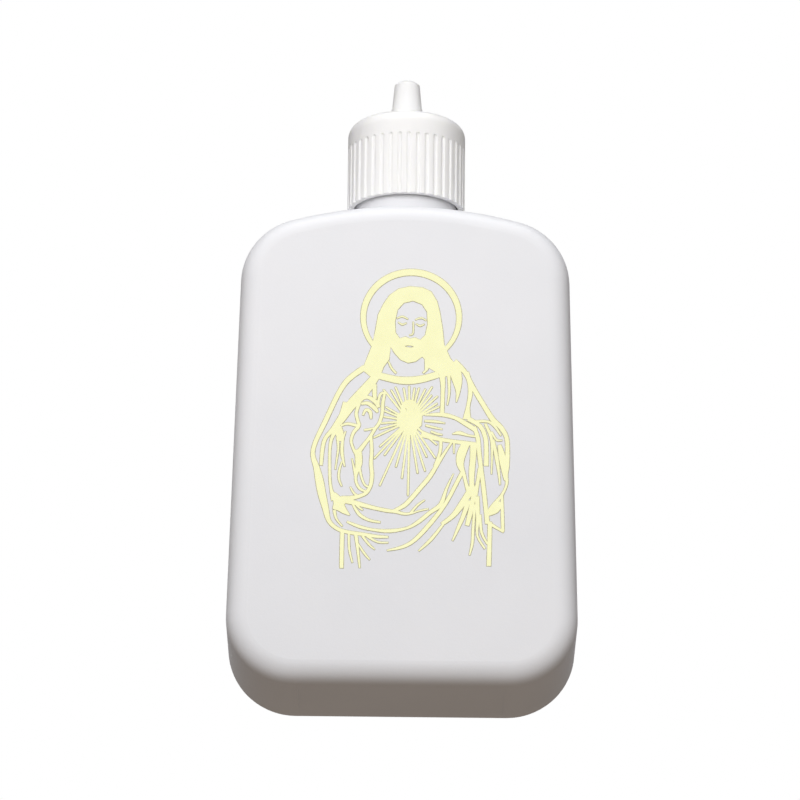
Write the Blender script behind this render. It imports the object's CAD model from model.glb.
"""Looks of a flat squeeze bottle with a ribbed screw cap, a flip-up spout and a gold foil print.

Millimetres are written as numbers times MM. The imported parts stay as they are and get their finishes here.
Added are the screw threads, the mould seams and the dark edge of the foil.
"""

import math

import bpy
from mathutils import Matrix, Vector


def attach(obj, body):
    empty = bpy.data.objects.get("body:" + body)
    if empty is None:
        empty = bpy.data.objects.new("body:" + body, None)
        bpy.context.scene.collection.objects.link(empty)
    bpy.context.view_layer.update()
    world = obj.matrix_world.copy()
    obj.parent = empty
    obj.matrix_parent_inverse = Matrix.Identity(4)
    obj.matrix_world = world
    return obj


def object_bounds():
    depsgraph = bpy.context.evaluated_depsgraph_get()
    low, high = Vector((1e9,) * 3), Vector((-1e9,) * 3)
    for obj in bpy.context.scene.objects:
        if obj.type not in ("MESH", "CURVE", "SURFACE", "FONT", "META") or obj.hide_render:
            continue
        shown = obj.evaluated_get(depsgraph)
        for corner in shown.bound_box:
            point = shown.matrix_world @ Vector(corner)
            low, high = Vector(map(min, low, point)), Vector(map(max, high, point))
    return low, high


MM = 0.001

# Sizes of the bottle that the added pieces follow; the base corner is the centre of its arc
BODY_H = 95.1 * MM
SHOULDER_W = 62.7 * MM
CORNER_R = 13 * MM
BASE_CORNER = Vector((20 * MM, 13 * MM))
CROWN_R = 81 * MM
NECK_R = 8.8 * MM
CAP_BORE_R = 10.2 * MM
THREAD_PITCH = 3.175 * MM
THREAD_START = 100.7 * MM

# Sides of the round beads
BEAD_SIDES = 12

# Where the picture is taken from: far away, and well below the base
LENS = 282.0
SENSOR = 36.0
CAMERA_AIM = Vector((-0.77, 0, 59.83)) * MM
CAMERA_DISTANCE = 1200 * MM
CAMERA_BELOW = math.radians(18.31)
CAMERA_ROLL = math.radians(0.6)

# What the lamps are turned to
LAMP_AIM = Vector((0, 0, 60)) * MM


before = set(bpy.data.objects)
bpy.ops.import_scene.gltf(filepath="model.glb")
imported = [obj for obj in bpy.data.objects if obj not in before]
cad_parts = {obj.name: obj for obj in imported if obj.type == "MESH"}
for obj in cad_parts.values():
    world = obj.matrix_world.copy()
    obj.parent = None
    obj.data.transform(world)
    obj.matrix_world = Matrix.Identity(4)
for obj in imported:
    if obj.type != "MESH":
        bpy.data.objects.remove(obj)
cad_low, cad_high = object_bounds()


# Node trees

def link(tree, source, target):
    tree.links.new(source, target)


def maths(tree, operation, first, second):
    """A Math node on two values or sockets; returns its output socket."""
    node = tree.nodes.new("ShaderNodeMath")
    node.operation = operation
    for socket, value in zip(node.inputs, (first, second)):
        if isinstance(value, bpy.types.NodeSocket):
            link(tree, value, socket)
        else:
            socket.default_value = value
    return node.outputs[0]


def eased(tree, value, low, high):
    """A smooth step from 0 at low to 1 at high."""
    step = tree.nodes.new("ShaderNodeMapRange")
    step.interpolation_type = "SMOOTHSTEP"
    step.inputs["From Min"].default_value = low
    step.inputs["From Max"].default_value = high
    link(tree, value, step.inputs["Value"])
    return step.outputs[0]


def own_place(tree):
    """Object coordinates."""
    return tree.nodes.new("ShaderNodeTexCoord").outputs["Object"]


def new_tree(name, sizes):
    """A Geometry Nodes tree with a mesh input and named sizes; returns the tree, its input and its output."""
    tree = bpy.data.node_groups.new(name, "GeometryNodeTree")
    tree.interface.new_socket("Mesh", in_out="INPUT", socket_type="NodeSocketGeometry")
    for label, kind in sizes.items():
        tree.interface.new_socket(label, in_out="INPUT", socket_type=kind)
    tree.interface.new_socket("Mesh", in_out="OUTPUT", socket_type="NodeSocketGeometry")
    return tree, tree.nodes.new("NodeGroupInput"), tree.nodes.new("NodeGroupOutput")


def close_tree(tree, mesh, given, out):
    """Ends a tree: smooth shading, plain mesh, finish."""
    smooth = tree.nodes.new("GeometryNodeSetShadeSmooth")
    real = tree.nodes.new("GeometryNodeRealizeInstances")
    finish = tree.nodes.new("GeometryNodeSetMaterial")
    link(tree, mesh, smooth.inputs["Geometry"])
    link(tree, smooth.outputs[0], real.inputs[0])
    link(tree, real.outputs[0], finish.inputs["Geometry"])
    link(tree, given.outputs["Finish"], finish.inputs["Material"])
    link(tree, finish.outputs[0], out.inputs[0])


def thread_tree():
    """A screw thread: a right-hand helix with a trapezoid section that runs out at both ends."""
    end_scale = 0.12
    steps_a_turn = 64
    tree, given, out = new_tree("screw_thread", {
        "Pitch Radius": "NodeSocketFloat", "Pitch": "NodeSocketFloat", "Turns": "NodeSocketFloat",
        "Start Height": "NodeSocketFloat", "Start Angle": "NodeSocketFloat", "Reach": "NodeSocketFloat",
        "Root Width": "NodeSocketFloat", "Crest Width": "NodeSocketFloat", "Run Out": "NodeSocketFloat",
        "Facing": "NodeSocketFloat", "Finish": "NodeSocketMaterial"})
    helix = tree.nodes.new("GeometryNodeCurveSpiral")
    helix.inputs["Resolution"].default_value = steps_a_turn
    helix.inputs["Reverse"].default_value = True
    link(tree, given.outputs["Turns"], helix.inputs["Rotations"])
    for end in ("Start Radius", "End Radius"):
        link(tree, given.outputs["Pitch Radius"], helix.inputs[end])
    rise = maths(tree, "MULTIPLY", given.outputs["Pitch"], given.outputs["Turns"])
    link(tree, rise, helix.inputs["Height"])

    normal = tree.nodes.new("GeometryNodeSetCurveNormal")
    normal.mode = "Z_UP"
    link(tree, helix.outputs[0], normal.inputs["Curve"])

    along = tree.nodes.new("GeometryNodeSplineParameter")
    nearest_end = maths(tree, "MINIMUM", along.outputs["Factor"],
                        maths(tree, "SUBTRACT", 1.0, along.outputs["Factor"]))
    ramp = tree.nodes.new("ShaderNodeMapRange")
    ramp.interpolation_type = "SMOOTHSTEP"
    link(tree, nearest_end, ramp.inputs["Value"])
    link(tree, given.outputs["Run Out"], ramp.inputs["From Max"])
    ramp.inputs["To Min"].default_value = end_scale
    swell = tree.nodes.new("GeometryNodeSetCurveRadius")
    link(tree, normal.outputs[0], swell.inputs["Curve"])
    link(tree, ramp.outputs[0], swell.inputs["Radius"])

    section = tree.nodes.new("GeometryNodeCurvePrimitiveQuadrilateral")
    section.mode = "TRAPEZOID"
    section.inputs["Offset"].default_value = 0
    link(tree, given.outputs["Reach"], section.inputs["Height"])
    link(tree, given.outputs["Root Width"], section.inputs["Bottom Width"])
    link(tree, given.outputs["Crest Width"], section.inputs["Top Width"])
    stand = tree.nodes.new("GeometryNodeTransform")
    link(tree, section.outputs[0], stand.inputs["Geometry"])
    lift = tree.nodes.new("ShaderNodeCombineXYZ")
    link(tree, maths(tree, "MULTIPLY", given.outputs["Reach"], 0.5), lift.inputs["Y"])
    link(tree, lift.outputs[0], stand.inputs["Translation"])
    faced = tree.nodes.new("GeometryNodeTransform")
    facing = tree.nodes.new("ShaderNodeCombineXYZ")
    link(tree, given.outputs["Facing"], facing.inputs["Z"])
    link(tree, facing.outputs[0], faced.inputs["Rotation"])
    link(tree, stand.outputs[0], faced.inputs["Geometry"])

    sweep = tree.nodes.new("GeometryNodeCurveToMesh")
    sweep.inputs["Fill Caps"].default_value = True
    link(tree, swell.outputs[0], sweep.inputs["Curve"])
    link(tree, faced.outputs[0], sweep.inputs["Profile Curve"])
    # Where the node has a Scale of its own, it doesn't follow the curve's radius
    if "Scale" in sweep.inputs:
        link(tree, ramp.outputs[0], sweep.inputs["Scale"])

    place = tree.nodes.new("GeometryNodeTransform")
    height = tree.nodes.new("ShaderNodeCombineXYZ")
    turn = tree.nodes.new("ShaderNodeCombineXYZ")
    link(tree, given.outputs["Start Height"], height.inputs["Z"])
    link(tree, given.outputs["Start Angle"], turn.inputs["Z"])
    link(tree, sweep.outputs[0], place.inputs["Geometry"])
    link(tree, height.outputs[0], place.inputs["Translation"])
    link(tree, turn.outputs[0], place.inputs["Rotation"])
    close_tree(tree, place.outputs[0], given, out)
    return tree


def bead_tree():
    """A round bead along every edge of the mesh that bounds it."""
    tree, given, out = new_tree("bead_along", {
        "Radius": "NodeSocketFloat", "Sides": "NodeSocketInt", "Finish": "NodeSocketMaterial"})
    path = tree.nodes.new("GeometryNodeMeshToCurve")
    neighbours = tree.nodes.new("GeometryNodeInputMeshEdgeNeighbors")
    edge = tree.nodes.new("FunctionNodeCompare")
    edge.data_type = "INT"
    edge.operation = "LESS_THAN"
    for socket in edge.inputs:
        if socket.name == "B" and socket.type == "INT":
            socket.default_value = 2
        if socket.name == "A" and socket.type == "INT":
            link(tree, neighbours.outputs[0], socket)
    link(tree, given.outputs["Mesh"], path.inputs["Mesh"])
    link(tree, edge.outputs[0], path.inputs["Selection"])
    ring = tree.nodes.new("GeometryNodeCurvePrimitiveCircle")
    link(tree, given.outputs["Sides"], ring.inputs["Resolution"])
    link(tree, given.outputs["Radius"], ring.inputs["Radius"])
    sweep = tree.nodes.new("GeometryNodeCurveToMesh")
    sweep.inputs["Fill Caps"].default_value = True
    link(tree, path.outputs[0], sweep.inputs["Curve"])
    link(tree, ring.outputs[0], sweep.inputs["Profile Curve"])
    close_tree(tree, sweep.outputs[0], given, out)
    return tree


def added(name, data):
    """A new object in the scene."""
    thing = bpy.data.objects.new(name, data)
    bpy.context.scene.collection.objects.link(thing)
    return thing


def grown(name, mesh, tree, sizes):
    """A new piece: the tree's result on that mesh, turned into a plain mesh."""
    piece = added(name, mesh)
    modifier = piece.modifiers.new(tree.name, "NODES")
    modifier.node_group = tree
    for item in tree.interface.items_tree:
        if item.in_out == "INPUT" and item.name in sizes:
            modifier[item.identifier] = sizes[item.name]
    graph = bpy.context.evaluated_depsgraph_get()
    made = bpy.data.meshes.new_from_object(piece.evaluated_get(graph))
    piece.modifiers.clear()
    piece.data = made
    made.name = name
    return piece


# Finishes

def new_finish(name):
    """An empty node material with a Principled shader; returns the material, its tree and the shader."""
    finish = bpy.data.materials.new(name)
    finish.use_nodes = True
    tree = finish.node_tree
    shader = next(n for n in tree.nodes if n.type == "BSDF_PRINCIPLED")
    return finish, tree, shader


def pattern(tree, size, detail):
    """Noise on Object coordinates whose features are about that size."""
    noise = tree.nodes.new("ShaderNodeTexNoise")
    noise.inputs["Scale"].default_value = 1 / size
    noise.inputs["Detail"].default_value = detail
    link(tree, own_place(tree), noise.inputs["Vector"])
    return noise.outputs["Fac"]


def cells(tree, spacing):
    """Voronoi cells on Object coordinates, about that far apart."""
    node = tree.nodes.new("ShaderNodeTexVoronoi")
    node.inputs["Scale"].default_value = 1 / spacing
    link(tree, own_place(tree), node.inputs["Vector"])
    return node.outputs


def between(tree, value, low, high):
    """Value from 0.3 to 0.7 spread over low to high."""
    spread = tree.nodes.new("ShaderNodeMapRange")
    link(tree, value, spread.inputs["Value"])
    spread.inputs["From Min"].default_value = 0.3
    spread.inputs["From Max"].default_value = 0.7
    spread.inputs["To Min"].default_value = low
    spread.inputs["To Max"].default_value = high
    return spread.outputs[0]


def mixed(tree, amount, first, second):
    """Colour mix; each colour is a tuple or a socket. Inputs 6 and 7 and output 2 are the colours."""
    mix = tree.nodes.new("ShaderNodeMix")
    mix.data_type = "RGBA"
    link(tree, amount, mix.inputs["Factor"])
    for index, colour in ((6, first), (7, second)):
        if isinstance(colour, bpy.types.NodeSocket):
            link(tree, colour, mix.inputs[index])
        else:
            mix.inputs[index].default_value = (*colour, 1)
    return mix.outputs[2]


def relief(tree, shader, layers):
    """Bump from several patterns, each with its height in metres."""
    normal = None
    for value, height in layers:
        bump = tree.nodes.new("ShaderNodeBump")
        bump.inputs["Distance"].default_value = height
        link(tree, value, bump.inputs["Height"])
        if normal:
            link(tree, normal, bump.inputs["Normal"])
        normal = bump.outputs[0]
    link(tree, normal, shader.inputs["Normal"])


def specks(tree, spacing, radius, share):
    """1 inside a few scattered dust specks, and 0 elsewhere."""
    spots = cells(tree, spacing)
    parts = tree.nodes.new("ShaderNodeSeparateColor")
    link(tree, spots["Color"], parts.inputs[0])
    near = maths(tree, "LESS_THAN", spots["Distance"], radius / spacing)
    chosen = maths(tree, "LESS_THAN", parts.outputs[0], share)
    return maths(tree, "MULTIPLY", near, chosen)


def bottle_finish():
    """Blow-moulded white plastic: satin, softly uneven, with a fine grain and a few specks."""
    finish, tree, shader = new_finish("bottle_plastic")
    cloud = pattern(tree, 22 * MM, 2)
    white = mixed(tree, between(tree, cloud, 0, 1), (0.782, 0.789, 0.817), (0.808, 0.812, 0.838))
    speck = specks(tree, 9 * MM, 0.16 * MM, 0.035)
    link(tree, mixed(tree, speck, white, (0.5, 0.46, 0.4)), shader.inputs["Base Color"])
    grain = pattern(tree, 0.45 * MM, 3)
    link(tree, between(tree, grain, 0.36, 0.46), shader.inputs["Roughness"])
    shader.inputs["IOR"].default_value = 1.51
    shader.inputs["Specular IOR Level"].default_value = 0.35
    shader.inputs["Subsurface Weight"].default_value = 0.06
    shader.inputs["Subsurface Radius"].default_value = (1.2 * MM, 1.1 * MM, 1 * MM)
    relief(tree, shader, [(cloud, 0.05 * MM), (grain, 0.012 * MM)])
    return finish


def cap_finish(name, white, rough):
    """Injection-moulded white plastic: cleaner and a little glossier than the bottle."""
    finish, tree, shader = new_finish(name)
    cloud = pattern(tree, 9 * MM, 2)
    shade = 0.975
    duller = tuple(shade * c for c in white)
    link(tree, mixed(tree, between(tree, cloud, 0, 1), duller, white), shader.inputs["Base Color"])
    grain = pattern(tree, 0.3 * MM, 3)
    link(tree, between(tree, grain, rough, rough + 0.08), shader.inputs["Roughness"])
    shader.inputs["IOR"].default_value = 1.5
    shader.inputs["Subsurface Weight"].default_value = 1.0
    shader.inputs["Subsurface Radius"].default_value = (1, 1, 0.95)
    shader.inputs["Subsurface Scale"].default_value = 0.6 * MM
    relief(tree, shader, [(grain, 0.006 * MM)])
    return finish


def foam_finish():
    """Closed-cell foam of the liner, with fine pores."""
    finish, tree, shader = new_finish("liner_foam")
    pores = cells(tree, 0.35 * MM)["Distance"]
    link(tree, mixed(tree, pores, (0.62, 0.64, 0.66), (0.82, 0.83, 0.84)), shader.inputs["Base Color"])
    shader.inputs["Roughness"].default_value = 0.8
    relief(tree, shader, [(pores, 0.08 * MM)])
    return finish


def foil_finish():
    """Hot-stamped pale gold foil, a little uneven where it took the plastic's grain."""
    finish, tree, shader = new_finish("gold_foil")
    cloud = pattern(tree, 3 * MM, 3)
    link(tree, mixed(tree, between(tree, cloud, 0, 1), (0.97, 0.95, 0.57), (1, 0.988, 0.61)),
         shader.inputs["Base Color"])
    grain = pattern(tree, 0.4 * MM, 3)
    link(tree, between(tree, grain, 0.24, 0.32), shader.inputs["Roughness"])
    shader.inputs["Metallic"].default_value = 1.0
    relief(tree, shader, [(cloud, 0.008 * MM), (grain, 0.0008 * MM)])
    return finish


def foil_edge_finish():
    """Dull brownish rim where the hot die sank the foil into the plastic."""
    finish, tree, shader = new_finish("foil_edge")
    grain = pattern(tree, 0.6 * MM, 2)
    link(tree, mixed(tree, between(tree, grain, 0, 1), (0.36, 0.33, 0.2), (0.52, 0.49, 0.33)),
         shader.inputs["Base Color"])
    shader.inputs["Roughness"].default_value = 0.5
    return finish


# Added pieces

def helper_mesh(name):
    """One point, for a tree that makes all of its own geometry."""
    mesh = bpy.data.meshes.new(name)
    mesh.from_pydata([(0, 0, 0)], [], [])
    return mesh


def chain_mesh(name, points):
    """A chain of edges through the points."""
    mesh = bpy.data.meshes.new(name)
    mesh.from_pydata(points, [(i, i + 1) for i in range(len(points) - 1)], [])
    return mesh


def arc(centre, radius, first, last, steps):
    """Points of an arc in the bottle's middle plane with their outward normals; angles in radians."""
    for i in range(steps + 1):
        angle = first + (last - first) * i / steps
        normal = Vector((math.cos(angle), math.sin(angle)))
        yield centre + radius * normal, normal


def seam_path(side, bead, stand):
    """The mould's parting line down one side, standing proud by that much but inside the CAD box.

    It starts beside the neck, at neck_room from the middle.
    """
    neck_room = 12 * MM
    box_gap = 0.01 * MM
    crown = Vector((0, BODY_H - CROWN_R))
    tilt = math.acos((SHOULDER_W / 2 - CORNER_R) / (CROWN_R - CORNER_R))
    top_corner = crown + (CROWN_R - CORNER_R) * Vector((math.cos(tilt), math.sin(tilt)))
    flank = top_corner - BASE_CORNER
    lean = math.atan2(flank.y, flank.x) - math.radians(90)
    neck_foot = math.acos(neck_room / CROWN_R)
    outline = [*arc(crown, CROWN_R, neck_foot, tilt, 16),
               *arc(top_corner, CORNER_R, tilt, lean, 16),
               *arc(BASE_CORNER, CORNER_R, lean, 0, 2)]
    points = []
    for point, normal in outline:
        room = (cad_high.x - point.x) / normal.x - box_gap
        centre = point - (bead - min(stand, room)) * normal
        points.append((side * centre.x, 0, centre.y))
    return points


def foil_front():
    """The foil's front faces alone, with shared corners, so that only the print's outline bounds them."""
    same_level = 0.01 * MM
    steps_a_metre = 1e7
    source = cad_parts["front_foil"].data
    front = min(v.co.y for v in source.vertices)
    flat = [p for p in source.polygons
            if all(source.vertices[i].co.y < front + same_level for i in p.vertices)]
    places = {}
    corners = []
    faces = []
    for polygon in flat:
        face = []
        for i in polygon.vertices:
            co = source.vertices[i].co
            key = (round(co.x * steps_a_metre), round(co.z * steps_a_metre))
            if key not in places:
                places[key] = len(corners)
                corners.append(co.copy())
            face.append(places[key])
        if len(set(face)) == 3:
            faces.append(face)
    return corners, faces, front


def foil_edges(finish, tree):
    """The rim of the print: a bead sunk in the bottle's front, just lower than the foil."""
    bead = 0.15 * MM
    lower = 0.02 * MM
    corners, faces, front = foil_front()
    for co in corners:
        co.y = front + lower + bead
    mesh = bpy.data.meshes.new("foil_front")
    mesh.from_pydata(corners, [], faces)
    return grown("foil_rim", mesh, tree, {"Radius": bead, "Sides": BEAD_SIDES, "Finish": finish})


def screw_threads(bottle_white, cap_white):
    """The neck's thread and the cap's, half a pitch apart so that they mesh."""
    tree = thread_tree()
    quarter = math.radians(90)
    sunk = 0.05 * MM
    shared = {"Pitch": THREAD_PITCH, "Turns": 1.5, "Reach": 1.1 * MM, "Root Width": 1.7 * MM,
              "Crest Width": 0.7 * MM, "Run Out": 0.12}
    neck = grown("neck_thread", helper_mesh("neck_thread"), tree, {
        **shared, "Pitch Radius": NECK_R - sunk, "Start Height": THREAD_START, "Start Angle": 0.0,
        "Facing": -quarter, "Finish": bottle_white})
    # Half a pitch lower, and a quarter of the pitch higher for its start a quarter turn on
    cap_start = THREAD_START - THREAD_PITCH / 2 + THREAD_PITCH / 4
    cap = grown("cap_thread", helper_mesh("cap_thread"), tree, {
        **shared, "Pitch Radius": CAP_BORE_R + sunk, "Start Height": cap_start, "Start Angle": quarter,
        "Facing": quarter, "Finish": cap_white})
    return neck, cap


def mould_marks(finish, tree):
    """The mould's parting line on the shoulders and the narrow sides."""
    bead = 0.16 * MM
    stand = 0.07 * MM
    marks = []
    for name, side in (("mould_seam_left", -1), ("mould_seam_right", 1)):
        mesh = chain_mesh(name, seam_path(side, bead, stand))
        marks.append(grown(name, mesh, tree, {"Radius": bead, "Sides": BEAD_SIDES, "Finish": finish}))
    return marks


# Stage

def soft_lamp(name, place, size, power, mirrored=True):
    """A square soft box turned to the bottle; one that isn't mirrored leaves no glare on the foil."""
    data = bpy.data.lights.new(name, "AREA")
    data.size = size
    data.energy = power
    lamp = added(name, data)
    lamp.location = place
    lamp.rotation_mode = "QUATERNION"
    lamp.rotation_quaternion = (LAMP_AIM - Vector(place)).to_track_quat("-Z", "Y")
    lamp.visible_camera = False
    lamp.visible_glossy = mirrored


def studio_world():
    """White where it is seen, and where the front mirrors it; as light, dim and a little warm from below."""
    from_below = (0.235, 0.2, 0.17)
    from_above = (0.15, 0.15, 0.155)
    white = (1, 1, 1)
    world = bpy.data.worlds.new("studio")
    world.use_nodes = True
    bpy.context.scene.world = world
    tree = world.node_tree
    tree.nodes.clear()
    where = tree.nodes.new("ShaderNodeTexCoord")
    parts = tree.nodes.new("ShaderNodeSeparateXYZ")
    link(tree, where.outputs["Generated"], parts.inputs[0])
    light = mixed(tree, eased(tree, parts.outputs["Z"], -0.35, 0.35), from_below, from_above)
    ahead = eased(tree, maths(tree, "MULTIPLY", parts.outputs["Y"], -1.0), -0.15, 0.35)
    rays = tree.nodes.new("ShaderNodeLightPath")
    mirrored = maths(tree, "MULTIPLY", rays.outputs["Is Glossy Ray"], ahead)
    seen = maths(tree, "MAXIMUM", rays.outputs["Is Camera Ray"], mirrored)
    seen = maths(tree, "MAXIMUM", seen, rays.outputs["Is Transmission Ray"])
    sky = tree.nodes.new("ShaderNodeBackground")
    link(tree, mixed(tree, seen, light, white), sky.inputs["Color"])
    out = tree.nodes.new("ShaderNodeOutputWorld")
    link(tree, sky.outputs[0], out.inputs["Surface"])


def floor_finish():
    """Pale floor that fades out with distance and is clear from below."""
    finish, tree, shader = new_finish("pale_floor")
    shader.inputs["Base Color"].default_value = (0.86, 0.86, 0.86, 1)
    shader.inputs["Roughness"].default_value = 0.8
    far = tree.nodes.new("ShaderNodeVectorMath")
    far.operation = "LENGTH"
    link(tree, own_place(tree), far.inputs[0])
    fade = eased(tree, far.outputs["Value"], 0.12, 0.9)
    side = tree.nodes.new("ShaderNodeNewGeometry")
    clear = maths(tree, "MAXIMUM", fade, side.outputs["Backfacing"])
    through = tree.nodes.new("ShaderNodeBsdfTransparent")
    mix = tree.nodes.new("ShaderNodeMixShader")
    link(tree, clear, mix.inputs["Fac"])
    link(tree, shader.outputs[0], mix.inputs[1])
    link(tree, through.outputs[0], mix.inputs[2])
    out = next(n for n in tree.nodes if n.type == "OUTPUT_MATERIAL")
    link(tree, mix.outputs[0], out.inputs["Surface"])
    return finish


def pale_floor():
    """A disc just under the base. It takes shadows but casts none and sends no light back up."""
    radius = 1.0
    sides = 96
    below = -0.2 * MM
    mesh = bpy.data.meshes.new("floor")
    ring = [(radius * math.cos(2 * math.pi * i / sides), radius * math.sin(2 * math.pi * i / sides), below)
            for i in range(sides)]
    mesh.from_pydata(ring, [], [list(range(sides))])
    mesh.materials.append(floor_finish())
    floor = added("floor", mesh)
    floor.visible_diffuse = False
    floor.visible_glossy = False
    floor.visible_shadow = False


def photo_camera():
    """The camera at the picture's viewing angle."""
    data = bpy.data.cameras.new("camera")
    data.lens = LENS
    data.sensor_width = SENSOR
    camera = added("camera", data)
    back = Vector((0, -math.cos(CAMERA_BELOW), -math.sin(CAMERA_BELOW)))
    camera.location = CAMERA_AIM + CAMERA_DISTANCE * back
    turn = (-back).to_track_quat("-Z", "Y").to_matrix().to_4x4()
    camera.rotation_mode = "QUATERNION"
    camera.rotation_quaternion = (turn @ Matrix.Rotation(CAMERA_ROLL, 4, "Z")).to_quaternion()
    bpy.context.scene.camera = camera


def dress(node, finish):
    """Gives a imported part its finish."""
    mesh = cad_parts[node].data
    mesh.materials.clear()
    mesh.materials.append(finish)


bottle_white = bottle_finish()
cap_white = cap_finish("cap_plastic", (0.962, 0.962, 0.962), 0.3)
spout_white = cap_finish("spout_plastic", (0.872, 0.872, 0.875), 0.32)
dress("bottle", bottle_white)
dress("cap", cap_white)
dress("flip_spout", spout_white)
dress("seal_liner", foam_finish())
dress("front_foil", foil_finish())

bead = bead_tree()
neck_thread, cap_thread = screw_threads(bottle_white, cap_white)
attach(neck_thread, "bottle")
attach(cap_thread, "cap")
for mark in mould_marks(bottle_white, bead):
    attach(mark, "bottle")
rim = foil_edges(foil_edge_finish(), bead)
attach(rim, "bottle")

photo_camera()
pale_floor()
studio_world()
soft_lamp("front_box", (-0.05, -0.5, 0.22), 0.4, 2.45, mirrored=False)
soft_lamp("back_left_box", (-0.3, 0.58, 0.34), 0.4, 2.3, mirrored=False)
soft_lamp("back_right_box", (0.3, 0.58, 0.34), 0.4, 2.0, mirrored=False)
soft_lamp("top_box", (0, -0.12, 0.55), 0.35, 0.9)
bpy.context.scene.view_settings.view_transform = "Standard"
